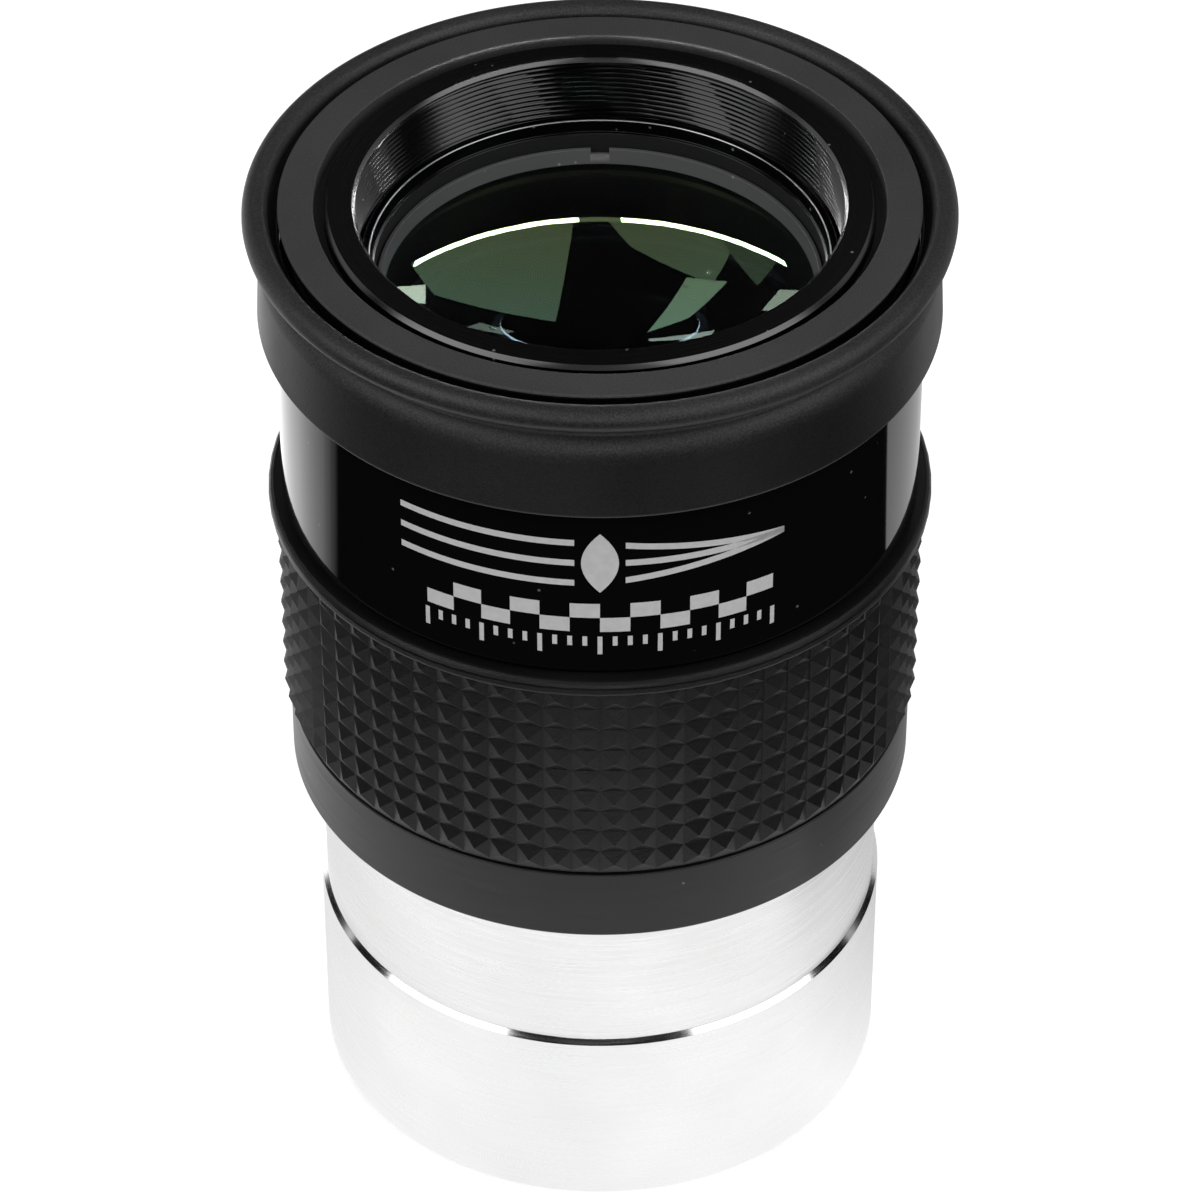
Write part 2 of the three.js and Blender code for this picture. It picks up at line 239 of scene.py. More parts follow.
def helix(pitch, depth, z0, z1, runout=0.4):
    """A thread's depth at a height and turn, fading out over a stretch at each end."""
    flank_slope = 1.35

    def depth_at(height, turn):
        if not z0 < height < z1:
            return 0
        phase = (height / pitch - turn) % 1
        flank = min(1, flank_slope * abs(2 * phase - 1))
        fade = min(1, (height - z0) / runout, (z1 - height) / runout)
        return depth * flank * fade
    return depth_at


def only_at(thread_r, groove):
    """An offset for lathe that cuts a thread into the wall at one radius."""
    def offset(radius, height, turn):
        return groove(height, turn) if abs(radius - thread_r) < 1e-3 else 0
    return offset


def finish_piece(piece, body, node, slot, *materials):
    """Gives a piece its materials and its body, and hides the CAD part that it stands for. The slot
    is not used.
    """
    for material in materials:
        piece.data.materials.append(material)
    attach(piece, body)
    if node:
        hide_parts(node)
    return piece


def paint(piece, index, is_there):
    """Gives a material index to the faces whose radius and height pass a test."""
    for face in piece.data.polygons:
        centre = face.center / MM
        if is_there(math.hypot(centre.x, centre.y), centre.z):
            face.material_index = index


# ---- Materials -------------------------------------------------------------------------------

class Surface:
    """A material's node tree, with short ways to add the nodes that this script uses."""

    def __init__(self, name, colour, roughness, metallic=0.0, **sockets):
        self.material = bpy.data.materials.new(name)
        self.material.use_nodes = True
        self.tree = self.material.node_tree
        self.nodes = self.tree.nodes
        self.shader = self.nodes["Principled BSDF"]
        self.shader.inputs["Base Color"].default_value = (*colour, 1)
        self.shader.inputs["Roughness"].default_value = roughness
        self.shader.inputs["Metallic"].default_value = metallic
        for socket, value in sockets.items():
            self.shader.inputs[socket.replace("_", " ")].default_value = value
        self.place = self.add("ShaderNodeTexCoord").outputs["Object"]

    def add(self, kind, **settings):
        node = self.nodes.new(kind)
        for key, value in settings.items():
            setattr(node, key, value)
        return node

    def join(self, source, target):
        self.tree.links.new(source, target)

    def math(self, operation, first, second):
        node = self.add("ShaderNodeMath", operation=operation)
        for socket, value in zip(node.inputs, (first, second)):
            if isinstance(value, (int, float)):
                socket.default_value = value
            else:
                self.join(value, socket)
        return node.outputs["Value"]

    def noise(self, scale, detail=2.0, place=None):
        node = self.add("ShaderNodeTexNoise")
        node.inputs["Scale"].default_value = scale
        node.inputs["Detail"].default_value = detail
        self.join(place or self.place, node.inputs["Vector"])
        return node.outputs["Fac"]

    def between(self, source, low, high, low_to=0.0, high_to=1.0):
        """Maps a range of a value on to another range, and clamps it."""
        node = self.add("ShaderNodeMapRange")
        node.inputs["From Min"].default_value = low
        node.inputs["From Max"].default_value = high
        node.inputs["To Min"].default_value = low_to
        node.inputs["To Max"].default_value = high_to
        self.join(source, node.inputs["Value"])
        return node.outputs["Result"]

    def spread(self, noise, low_to=0.0, high_to=1.0):
        """Maps the middle range of a noise on to another range."""
        return self.between(noise, 0.3, 0.7, low_to, high_to)

    def colours(self, source, low, high):
        """Mixes two colours by a value from 0 to 1."""
        node = self.add("ShaderNodeMix", data_type="RGBA")
        self.join(source, node.inputs["Factor"])
        node.inputs["A"].default_value = (*low, 1)
        node.inputs["B"].default_value = (*high, 1)
        return node.outputs["Result"]

    def turned_place(self, lines_per_mm):
        """Coordinates that vary along an outline and hardly at all round it, for tool marks."""
        split = self.add("ShaderNodeSeparateXYZ")
        self.join(self.place, split.inputs["Vector"])
        flat = self.add("ShaderNodeCombineXYZ")
        self.join(split.outputs["X"], flat.inputs["X"])
        self.join(split.outputs["Y"], flat.inputs["Y"])
        length = self.add("ShaderNodeVectorMath", operation="LENGTH")
        self.join(flat.outputs["Vector"], length.inputs[0])
        lines = lines_per_mm / MM
        drift_share = 0.02
        drift = drift_share * lines
        made = self.add("ShaderNodeCombineXYZ")
        self.join(self.math("MULTIPLY", length.outputs["Value"], lines), made.inputs["X"])
        self.join(self.math("MULTIPLY", split.outputs["X"], drift), made.inputs["Y"])
        self.join(self.math("MULTIPLY", split.outputs["Z"], lines), made.inputs["Z"])
        return made.outputs["Vector"]

    def by_height(self, low_mm, high_mm, low_to, high_to):
        """A value that changes between two heights on the piece."""
        split = self.add("ShaderNodeSeparateXYZ")
        self.join(self.place, split.inputs["Vector"])
        return self.between(split.outputs["Z"], low_mm * MM, high_mm * MM, low_to, high_to)

    def dust(self, per_mm, share):
        """Small round specks: 1 on a speck and 0 between, on a share of the cells."""
        speck_core = 0.10
        speck_edge = 0.24
        cells = self.add("ShaderNodeTexVoronoi")
        cells.inputs["Scale"].default_value = per_mm / MM
        self.join(self.place, cells.inputs["Vector"])
        pick = self.add("ShaderNodeSeparateColor")
        self.join(cells.outputs["Color"], pick.inputs["Color"])
        chosen = self.math("LESS_THAN", pick.outputs["Red"], share)
        spot = self.between(cells.outputs["Distance"], speck_core, speck_edge, 1.0, 0.0)
        return self.math("MULTIPLY", chosen, spot)

    def bump(self, height, strength, depth_mm):
        node = self.add("ShaderNodeBump")
        node.inputs["Strength"].default_value = strength
        node.inputs["Distance"].default_value = depth_mm * MM
        self.join(height, node.inputs["Height"])
        self.join(node.outputs["Normal"], self.shader.inputs["Normal"])

    def colour_from(self, source):
        self.join(source, self.shader.inputs["Base Color"])

    def roughness_from(self, source):
        self.join(source, self.shader.inputs["Roughness"])


def rubber(name, dark, light, roughness, grain_mm, relief, shine=0.35, painted_highlight_z=None):
    """Moulded rubber: a fine speckle from the mould, uneven bloom and a little pale dust. Where a
    height is given, it carries a painted highlight: full tone above that height and darker below
    it."""
    bloom_per_m = 70
    grain_share = 0.75
    specks_per_mm = 2.6
    surface = Surface(name, light, roughness, Specular_IOR_Level=shine)
    grain = surface.noise(1 / (grain_mm * MM), 3.0)
    bloom = surface.noise(bloom_per_m, 3.0)
    tone = surface.math("ADD", surface.between(grain, 0.32, 0.70, 0, grain_share),
                        surface.between(bloom, 0.35, 0.65, 0, 1 - grain_share))
    tone = surface.math("ADD", tone, surface.dust(specks_per_mm, 0.05))
    # Painted highlight: full tone above this height and a third of it lower down, standing in for
    # light on the shoulder under the lip.
    if painted_highlight_z:
        painted_highlight = surface.by_height(painted_highlight_z - 0.5, painted_highlight_z + 0.7, 0.33, 1.0)
        tone = surface.math("MULTIPLY", tone, painted_highlight)
    surface.colour_from(surface.colours(tone, dark, light))
    surface.roughness_from(surface.spread(bloom, roughness - 0.06, roughness + 0.08))
    surface.bump(grain, relief, grain_mm * 0.5)
    return surface.material


def turned_black(name, colour, roughness, marks, dust_share, shine=0.5):
    """Black anodised aluminium with faint tool marks and a few specks of dust."""
    lines_per_mm = 9
    mark_depth = 0.004
    specks_per_mm = 1.4
    dust_tone = 0.16
    surface = Surface(name, colour, roughness, Specular_IOR_Level=shine)
    lines = surface.noise(1.0, 2.0, surface.turned_place(lines_per_mm))
    specks = surface.dust(specks_per_mm, dust_share)
    pale = tuple(value + dust_tone for value in colour)
    surface.colour_from(surface.colours(specks, colour, pale))
    surface.roughness_from(surface.spread(lines, roughness * 0.85, roughness * 1.2))
    surface.bump(lines, marks, mark_depth)
    return surface.material


def matt_black(name):
    """Light-absorbing black paint on the parts inside, a little uneven."""
    grain_per_m = 4200
    surface = Surface(name, (0.008, 0.008, 0.009), 0.75, Specular_IOR_Level=0.3)
    grain = surface.noise(grain_per_m, 3.0)
    surface.colour_from(surface.colours(grain, (0.004, 0.004, 0.005), (0.014, 0.014, 0.015)))
    surface.roughness_from(surface.spread(grain, 0.65, 0.85))
    surface.bump(grain, 0.3, 0.03)
    return surface.material


def chrome(name, roughness, marks, low=(0.78, 0.78, 0.78), high=(0.86, 0.86, 0.86)):
    """Chromed metal with the marks of the turning tool running round it."""
    lines_per_mm = 7
    blotches_per_m = 55
    mark_depth = 0.004
    surface = Surface(name, high, roughness, metallic=1.0)
    lines = surface.noise(1.0, 3.0, surface.turned_place(lines_per_mm))
    blotches = surface.noise(blotches_per_m, 2.0)
    surface.colour_from(surface.colours(surface.spread(blotches), low, high))
    surface.roughness_from(surface.spread(lines, roughness * 0.8, roughness * 1.25))
    surface.bump(lines, marks, mark_depth)
    return surface.material


def white_ink(name):
    """Printed ink, very slightly mottled."""
    mottle_per_m = 1800
    surface = Surface(name, (0.75, 0.75, 0.75), 0.45)
    mottle = surface.noise(mottle_per_m, 2.0)
    surface.colour_from(surface.colours(mottle, (0.66, 0.66, 0.66), (0.82, 0.82, 0.82)))
    surface.roughness_from(surface.spread(mottle, 0.38, 0.55))
    return surface.material


def coated_glass(name, ior, film_nm, film_ior):
    """Polished glass with a thin anti-reflection film, whose thickness sets its tint."""
    surface = Surface(name, (1, 1, 1), 0.0, IOR=ior, Transmission_Weight=1.0,
                      Thin_Film_Thickness=film_nm, Thin_Film_IOR=film_ior)
    specks = surface.dust(0.55, 0.05)
    surface.roughness_from(surface.between(specks, 0.2, 0.8, 0.0, 0.25))
    return surface.material


def lens_cement(name):
    """The joint inside the doublet, which light passes almost untouched."""
    surface = Surface(name, (1, 1, 1), 0.0)
    clear = surface.add("ShaderNodeBsdfTransparent")
    glint = surface.add("ShaderNodeBsdfGlossy")
    glint.inputs["Color"].default_value = (1.0, 0.55, 0.85, 1)
    glint.inputs["Roughness"].default_value = 0.02
    mottle_per_m = 300
    mottle = surface.noise(mottle_per_m, 2.0)
    amount = surface.spread(mottle, 0.002, 0.005)
    mix = surface.add("ShaderNodeMixShader")
    surface.join(amount, mix.inputs["Fac"])
    surface.join(clear.outputs["BSDF"], mix.inputs[1])
    surface.join(glint.outputs["BSDF"], mix.inputs[2])
    surface.join(mix.outputs["Shader"], surface.nodes["Material Output"].inputs["Surface"])
    surface.nodes.remove(surface.shader)
    return surface.material


RUBBER_FACE = rubber("rubber_face", (0.028, 0.028, 0.029), (0.066, 0.066, 0.068), 0.6, 0.13, 0.6)
# The skirt's rubber carries a painted highlight on its shoulder, above 88 mm.
RUBBER_SKIRT = rubber("rubber_skirt", (0.006, 0.006, 0.006), (0.045, 0.045, 0.047), 0.46, 0.16,
                      0.35, painted_highlight_z=88.0)
RUBBER_GRIP = rubber("rubber_grip", (0.003, 0.003, 0.003), (0.008, 0.008, 0.009), 0.36, 0.16, 0.4,
                     0.28)
GLOSS_BLACK = turned_black("gloss_black_anodised", (0.004, 0.004, 0.004), 0.05, 0.03, 0.012)
SATIN_BLACK = turned_black("satin_black_anodised", (0.008, 0.008, 0.009), 0.34, 0.15, 0.01, 0.4)
EYE_RING_BLACK = turned_black("eye_ring_black_anodised", (0.001, 0.001, 0.001), 0.24, 0.3, 0.05,
                              0.06)
THREAD_BLACK = turned_black("thread_black_anodised", (0.001, 0.001, 0.001), 0.16, 0.1, 0.02)
RETAINER_BLACK = turned_black("retainer_black_anodised", (0.09, 0.09, 0.092), 0.4, 0.3, 0.05)
EDGE_BRIGHT = chrome("bare_turned_edge", 0.22, 0.2, (0.06, 0.06, 0.06), (0.10, 0.10, 0.10))
CELL_EDGE = chrome("cell_turned_edge", 0.3, 0.2, (0.30, 0.30, 0.30), (0.42, 0.42, 0.42))
INNER_BLACK = matt_black("inner_matt_black")
SATIN_CHROME = chrome("satin_chrome", 0.30, 0.35)
POLISHED_CHROME = chrome("polished_chrome", 0.12, 0.1)
PRINT_WHITE = white_ink("print_white")
FLINT_GLASS = coated_glass("flint_glass", 1.60, 432, 1.45)
CROWN_GLASS = coated_glass("crown_glass", 1.52, 290, 1.38)
FIELD_GLASS = coated_glass("field_glass", 1.52, 290, 1.38)
CEMENT = lens_cement("lens_cement")


# ---- Barrel and ring -------------------------------------------------------------------------

UNDERCUT_DEPTH = 0.45
UNDERCUT_LOW = 19.45
UNDERCUT_HIGH = 31.9
FILTER_R = 23.65                  # crest of the filter thread
FILTER_PITCH = 0.75
FILTER_DEPTH = 7
SEAT_STEP = 0.4                   # how far the barrel's top sits inside the ring


def make_barrel():
    """The chromed tube, with its undercut, polished chamfer and filter thread."""
    undercut_r = BARREL_R - UNDERCUT_DEPTH
    edge = 0.4
    seat_z = SHOULDER_Z + SEAT_STEP
    spigot_r = 23.8
    spigot_bore_r = 22.5
    ledge_r = 21.5
    bore_r = 23.3
    bore_taper = 2
    mouth_edge = 0.25
    thread_depth = 0.38
    thread_top = FILTER_DEPTH - 0.4
    thread_low = 0.6
    ledge_z = STOP_BOTTOM - GAP
    corners = [
        (BARREL_R - edge, 0, 0.1),
        (BARREL_R, edge, 0.1),
        (BARREL_R, UNDERCUT_LOW, 0.03),
        (undercut_r, UNDERCUT_LOW + UNDERCUT_DEPTH, 0.05),
        (undercut_r, UNDERCUT_HIGH, 0.05),
        (BARREL_R, UNDERCUT_HIGH, 0.05),
        (BARREL_R, seat_z, 0.1),
        (spigot_r, seat_z),
        (spigot_r, BARREL_TOP, 0.1),
        (spigot_bore_r, BARREL_TOP, 0.1),
        (spigot_bore_r, ledge_z),
        (ledge_r, ledge_z, 0.1),
        (ledge_r, SHOULDER_Z, 0.1),
        (bore_r, SHOULDER_Z - bore_taper, 0.1),
        (bore_r, FILTER_DEPTH, 0.1),
        (FILTER_R, FILTER_DEPTH),
    ]
    outline = rounded(corners) + straight(FILTER_R, thread_top, thread_low, FILTER_PITCH / 8)
    outline += [(FILTER_R, mouth_edge), (FILTER_R + mouth_edge, 0)]
    groove = helix(FILTER_PITCH, thread_depth, thread_low, thread_top)
    piece = lathe("barrel_tube", outline, offset=only_at(FILTER_R, groove))
    finish_piece(piece, "screw_barrel", "barrel", "chrome_barrel",
                 SATIN_CHROME, POLISHED_CHROME, INNER_BLACK)
    outside_r = BARREL_R - 0.5
    inside_r = spigot_r + 0.5
    chamfer_low = UNDERCUT_LOW + 0.01
    chamfer_high = UNDERCUT_LOW + UNDERCUT_DEPTH + 0.02
    black_low = FILTER_DEPTH - 0.1
    paint(piece, 1, lambda radius, z: chamfer_low < z < chamfer_high and radius > outside_r)
    paint(piece, 2, lambda radius, z: black_low < z < BARREL_TOP and radius < inside_r)
    return piece


def make_lower_ring():
    """The satin ring whose underside rests on the focuser."""
    spigot_r = 24.0
    nose_r = 25.8
    nose_seat_z = 38
    register_r = BARREL_R + GAP
    register_z = SHOULDER_Z + SEAT_STEP + GAP
    outline = rounded([
        (spigot_r, register_z),
        (register_r, register_z),
        (register_r, SHOULDER_Z, 0.1),
        (RING_R, SHOULDER_Z, 0.3),
        (RING_R, RING_TOP, 0.12),
        (nose_r, RING_TOP),
        (nose_r, nose_seat_z),
        (spigot_r, nose_seat_z),
    ])
    piece = lathe("focuser_ring", outline)
    return finish_piece(piece, "eyepiece_body", "lower_ring", "satin_black", SATIN_BLACK)


def make_field_stop():
    """The stop ring, narrowing to a thin edge."""
    aperture_r = 14.5
    lip = 0.3
    rim_width = 3
    outline = rounded([
        (aperture_r, STOP_TOP - lip),
        (STOP_R - rim_width, STOP_BOTTOM, 0.3),
        (STOP_R, STOP_BOTTOM, 0.1),
        (STOP_R, STOP_TOP, 0.1),
        (aperture_r, STOP_TOP),
    ])
    piece = lathe("field_stop_ring", outline)
    return finish_piece(piece, "barrel_carrier", "field_stop", "matt_black", INNER_BLACK)


# ---- Housing and grip ------------------------------------------------------------------------

BORE_R = 20.8


def make_housing():
    """The turned housing, with a gloss outside."""
    nose_r = 25.6
    nose_bore_r = 24.1
    nose_bore_top = 41.6
    grip_seat_r = 26.8
    grip_seat_z = RING_TOP + GAP
    eye_seat_r = 22.6
    eye_seat_z = 84
    neck_r = 26.9
    neck_z = 88.4
    seat_top = GRIP_TOP + 0.5
    outline = rounded([
        (nose_bore_r, BODY_BOTTOM),
        (nose_r, BODY_BOTTOM, 0.1),
        (nose_r, grip_seat_z),
        (grip_seat_r, grip_seat_z, 0.1),
        (grip_seat_r, seat_top),
        (BODY_R, seat_top, 0.25),
        (BODY_R, neck_z, 0.25),
        (neck_r, neck_z),
        (neck_r, BODY_TOP, 0.1),
        (eye_seat_r, BODY_TOP, 0.1),
        (eye_seat_r, eye_seat_z),
        (BORE_R, eye_seat_z),
        (BORE_R, nose_bore_top),
        (nose_bore_r, nose_bore_top),
    ])
    piece = lathe("housing_tube", outline)
    finish_piece(piece, "eyepiece_body", "housing", "gloss_black", GLOSS_BLACK, INNER_BLACK)
    bore_limit = BORE_R + 1
    paint(piece, 1, lambda radius, z: radius < bore_limit or z < RING_TOP)
    return piece


STUD_COLUMNS = 72
STUD_ROWS = 9
STUD_TIP_R = 28.1
STUD_VALLEY_R = 27.55
BORDER_Z = GRIP_TOP - 1.4         # lower side of the grip's raised border


def make_grip():
    """The rubber grip: rows of four-sided studs with softened ridges, under a plain border."""
    base_r = 27.0
    plain_foot = 0.2
    border_step = 0.05
    ridge_width = 0.10
    ridge_angle = 9
    low_z = GRIP_BOTTOM + plain_foot
    tip_rows = [(STUD_VALLEY_R, low_z + (BORDER_Z - low_z) * row / STUD_ROWS)
                for row in range(STUD_ROWS + 1)]
    border = rounded([
        tip_rows[-1],
        (BORDER_R, BORDER_Z + border_step, 0.35),
        (BORDER_R, GRIP_TOP, 0.6),
        (base_r, GRIP_TOP, 0.1),
        (base_r, GRIP_BOTTOM),
        (STUD_VALLEY_R, GRIP_BOTTOM, 0.1),
    ])[1:]
    outline = tip_rows + border
    vertices = []

    def add_point(radius, turn, height):
        angle = 2 * math.pi * turn / STUD_COLUMNS
        vertices.append((radius * math.cos(angle), radius * math.sin(angle), height))
        return len(vertices) - 1

    rows = [[add_point(radius, column, height) for column in range(STUD_COLUMNS)]
            for radius, height in outline]
    faces = []
    for index, row in enumerate(rows):
        above_index = (index + 1) % len(rows)
        above = rows[above_index]
        middle_z = (outline[index][1] + outline[above_index][1]) / 2
        for column in range(STUD_COLUMNS):
            right = (column + 1) % STUD_COLUMNS
            corners = [row[column], row[right], above[right], above[column]]
            if index >= STUD_ROWS:
                faces.append(corners)
                continue
            tip = add_point(STUD_TIP_R, column + 0.5, middle_z)
            for side in range(4):
                faces.append([corners[side], corners[(side + 1) % 4], tip])
    piece = new_piece("grip_sleeve", vertices, faces, smooth_angle=60)
    soften = piece.modifiers.new("soft_ridges", "BEVEL")
    soften.width = ridge_width * MM
    soften.segments = 2
    soften.limit_method = "ANGLE"
    soften.angle_limit = math.radians(ridge_angle)
    soften.harden_normals = True
    return finish_piece(piece, "eyepiece_body", "grip_band", "rubber", RUBBER_GRIP)


# ---- Print -----------------------------------------------------------------------------------
# A plain drawing: a lens with three rays of light through it, over a scale of alternating blocks
# and a row of graduations.

PRINT_LIFT = 0.02                 # thickness of the ink on the housing
INK_STEP = 1.0                    # longest straight piece of an ink line that curves round


def ink_strip(vertices, faces, low, high):
    """Adds a strip of ink between two rows of (along, height) points on the housing's front."""
    first = len(vertices)
    for row in (low, high):
        for along, height in row:
            angle = along / BODY_R - math.pi / 2
            reach = BODY_R + PRINT_LIFT
            vertices.append((reach * math.cos(angle), reach * math.sin(angle), height))
    count = len(low)
    for index in range(count - 1):
        left = first + index
        faces.append([left, left + 1, left + count + 1, left + count])


def ink_line(vertices, faces, start, end, width):
    """A straight line of ink, in short steps so that it follows the housing's curve."""
    steps = max(1, math.ceil(abs(end[0] - start[0]) / INK_STEP))
    middle = [(start[0] + (end[0] - start[0]) * step / steps,
               start[1] + (end[1] - start[1]) * step / steps) for step in range(steps + 1)]
    if abs(end[0] - start[0]) < width:
        low = [(start[0] - width / 2, start[1]), (start[0] + width / 2, start[1])]
        high = [(end[0] - width / 2, end[1]), (end[0] + width / 2, end[1])]
    else:
        low = [(along, height - width / 2) for along, height in middle]
        high = [(along, height + width / 2) for along, height in middle]
    ink_strip(vertices, faces, low, high)


def make_print():
    """A lens with its rays over a scale of alternating blocks and graduations."""
    vertices = []
    faces = []
    middle_z = 76.4
    lens_half_height = 3.1
    lens_half_width = 1.55
    lens_steps = 16
    lens_columns = 6
    ray_width = 0.62
    ray_gap = 0.55
    focus = 16.0
    entry = -17.5
    ray_heights = (-2.1, 0.0, 2.1)
    scale_z = 70.6
    blocks_each_side = 6
    block = 2.5
    block_width = 1.5
    ticks_each_side = 12
    ticks_in_a_group = 4
    tick_gap = 0.5
    tick_width = 0.4
    short_tick = 1.0
    long_tick = 1.9
    heights = [-lens_half_height + 2 * lens_half_height * step / lens_steps
               for step in range(lens_steps + 1)]
    widths = [lens_half_width * (1 - (height / lens_half_height) ** 2) for height in heights]
    for column in range(lens_columns):
        edges = []
        for share in (column / lens_columns, (column + 1) / lens_columns):
            edges.append([(width * (2 * share - 1), middle_z + height)
                          for width, height in zip(reversed(widths), reversed(heights))])
        ink_strip(vertices, faces, *edges)
    for ray_height in ray_heights:
        clear = lens_half_width + ray_gap
        at_lens = (-clear, middle_z + ray_height)
        ink_line(vertices, faces, (entry, middle_z + ray_height), at_lens, ray_width)
        leaving = (clear, middle_z + ray_height * (1 - clear / focus))
        ink_line(vertices, faces, leaving, (focus, middle_z), ray_width)
    for index in range(-blocks_each_side, blocks_each_side):
        row_z = scale_z + block_width / 2 * (1 if index % 2 else -1)
        ink_line(vertices, faces, (index * block, row_z), ((index + 1) * block, row_z), block_width)
    tick_z = scale_z - block_width - tick_gap
    for tick in range(-ticks_each_side, ticks_each_side + 1):
        height = short_tick if tick % ticks_in_a_group else long_tick
        along = tick * block / 2
        ink_line(vertices, faces, (along, tick_z - height), (along, tick_z), tick_width)
    piece = new_piece("printed_mark", vertices, faces)
    return finish_piece(piece, "eyepiece_body", None, "gloss_black", PRINT_WHITE)


# ---- Eye end ---------------------------------------------------------------------------------

EYE_BORE_R = 20.4                 # crest of the fine thread above the lens
EYE_THREAD_PITCH = 0.5
FLANGE_Z = 91.7                   # underside of the eye ring's flange
FACE_INNER_R = 23.9
FACE_OUTER_R = outer_radius("eyecup_collar")


def make_eye_ring():
    """The ring round the lens, with a fine thread down its bore."""
    spigot_r = 22.4
    outer_edge = 0.35
    inner_edge = 0.3
    plain_foot = 1.7
    thread_depth = 0.26
    runout = 0.2
    thread_high = EYE_RING_TOP - inner_edge - 0.1
    thread_low = EYE_RING_BOTTOM + plain_foot
    outline = rounded([
        (EYE_BORE_R, EYE_RING_BOTTOM, 0.1),
        (spigot_r, EYE_RING_BOTTOM, 0.1),
        (spigot_r, FLANGE_Z),
        (EYE_RING_R, FLANGE_Z, 0.05),
        (EYE_RING_R, EYE_RING_TOP - outer_edge, 0.04),
        (EYE_RING_R - outer_edge, EYE_RING_TOP, 0.04),
        (EYE_BORE_R + inner_edge, EYE_RING_TOP, 0.04),
        (EYE_BORE_R, EYE_RING_TOP - inner_edge, 0.04),
    ])
    outline += straight(EYE_BORE_R, thread_high, thread_low, EYE_THREAD_PITCH / 8)
    groove = helix(EYE_THREAD_PITCH, thread_depth, thread_low, thread_high, runout)
    piece = lathe("eye_ring_threaded", outline, offset=only_at(EYE_BORE_R, groove),
                  smooth_angle=40)
    finish_piece(piece, "eyepiece_body", "eye_ring", "satin_black",
                 EYE_RING_BLACK, EDGE_BRIGHT, THREAD_BLACK)
    margin = 0.02
    outer_start = EYE_RING_R - outer_edge + margin
    inner_end = EYE_BORE_R + inner_edge - margin
    bore_limit = spigot_r - 1
    edge_z = EYE_RING_TOP - inner_edge
    paint(piece, 2, lambda radius, z: radius < bore_limit and z < edge_z)
    paint(piece, 1, lambda radius, z: z > edge_z and not inner_end <= radius <= outer_start)
    return piece


def make_eyecup_collar():
    """The flat rubber face round the ring, and the undercut collar that the skirt folds from."""
    clamped_r = 22.65
    undercut_r = FACE_OUTER_R - 0.9
    undercut_z = FACE_Z - 0.8
    edge_z = FACE_Z - 0.4
    face_round = 0.22
    clamped_z = FLANGE_Z - GAP
    outline = rounded([
        (clamped_r, COLLAR_BOTTOM),
        (undercut_r, COLLAR_BOTTOM),
        (undercut_r, undercut_z, 0.1),
        (FACE_OUTER_R, edge_z, 0.1),
        (FACE_OUTER_R, FACE_Z, face_round),
        (FACE_INNER_R, FACE_Z, 0.16),
        (FACE_INNER_R, clamped_z),
        (clamped_r, clamped_z),
    ])
    piece = lathe("eyecup_face", outline)
    finish_piece(piece, "eyepiece_body", "eyecup_collar", "rubber", RUBBER_FACE, RUBBER_GRIP)
    wall_start = FACE_INNER_R + 1
    paint(piece, 1, lambda radius, z: radius > wall_start and z < FACE_Z - face_round)
    return piece


def make_eyecup_skirt():
    """The folded eyecup: a round lip, a waist, a round shoulder and a skirt below it."""
    lip_round = 1.1
    lip_centre_r = LIP_R - lip_round
    lip_z = 92.4
    inner_r = 27.75
    inner_top_z = lip_z - 0.6
    shoulder_inner_z = 88.7
    waist_inner_r = 27.12
    waist_inner_z = (91.3, 89.7)
    waist = [(27.5, 90.2), (27.53, 90.55), (27.72, 90.9)]
    inner_round = 0.35
    edge_round = 0.45
    skirt_r = 28.95
    shoulder_r = 28.7
    shoulder_round = 2.4
    shoulder_z = 87.7
    outline = [(inner_r, SKIRT_BOTTOM + 0.5)]
    outline += arc(inner_r + inner_round, SKIRT_BOTTOM + inner_round, inner_round, 180, 270, 4)
    outline += arc(skirt_r - edge_round, SKIRT_BOTTOM + edge_round, edge_round, -90, 0, 6)
    outline += arc(shoulder_r - shoulder_round, shoulder_z, shoulder_round, 0, 58, 14)
    outline += waist
    outline += arc(lip_centre_r, lip_z, lip_round, -105, 170, 22)
    outline.append((inner_r, inner_top_z))
    outline += [(waist_inner_r, height) for height in waist_inner_z]
    outline.append((inner_r, shoulder_inner_z))
    piece = lathe("eyecup_fold", outline, smooth_angle=50)
    return finish_piece(piece, "folding_eyecup", "eyecup_skirt", "rubber", RUBBER_SKIRT)


def make_eyecup_web():
    """The thin rubber between the collar and the skirt's waist, which the raised cup stretches."""
    inner_r = 26.93
    outer_r = 27.08
    low_z = 90.85
    high_z = 91.25
    row_height = 0.05
    outer_wall = straight(outer_r, low_z, high_z, row_height)
    inner_wall = straight(inner_r, high_z, low_z, row_height)
    piece = lathe("eyecup_web", outer_wall + inner_wall)
    piece.data.materials.append(RUBBER_SKIRT)
    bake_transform(piece)


# ---- Lenses and their mounts -----------------------------------------------------------------

EYE_LENS_CURVE = 85
FLINT_THICKNESS = 2
CEMENT_GAP = 0.15
CEMENT_CURVE = 45
CROWN_THICKNESS = 7.7
CROWN_CURVE = 80
FIELD_LENS_EDGE = 3
FIELD_LENS_CURVE = 45
RIM_MARGIN = 0.02                 # a lens's surface this close to its rim is blackened


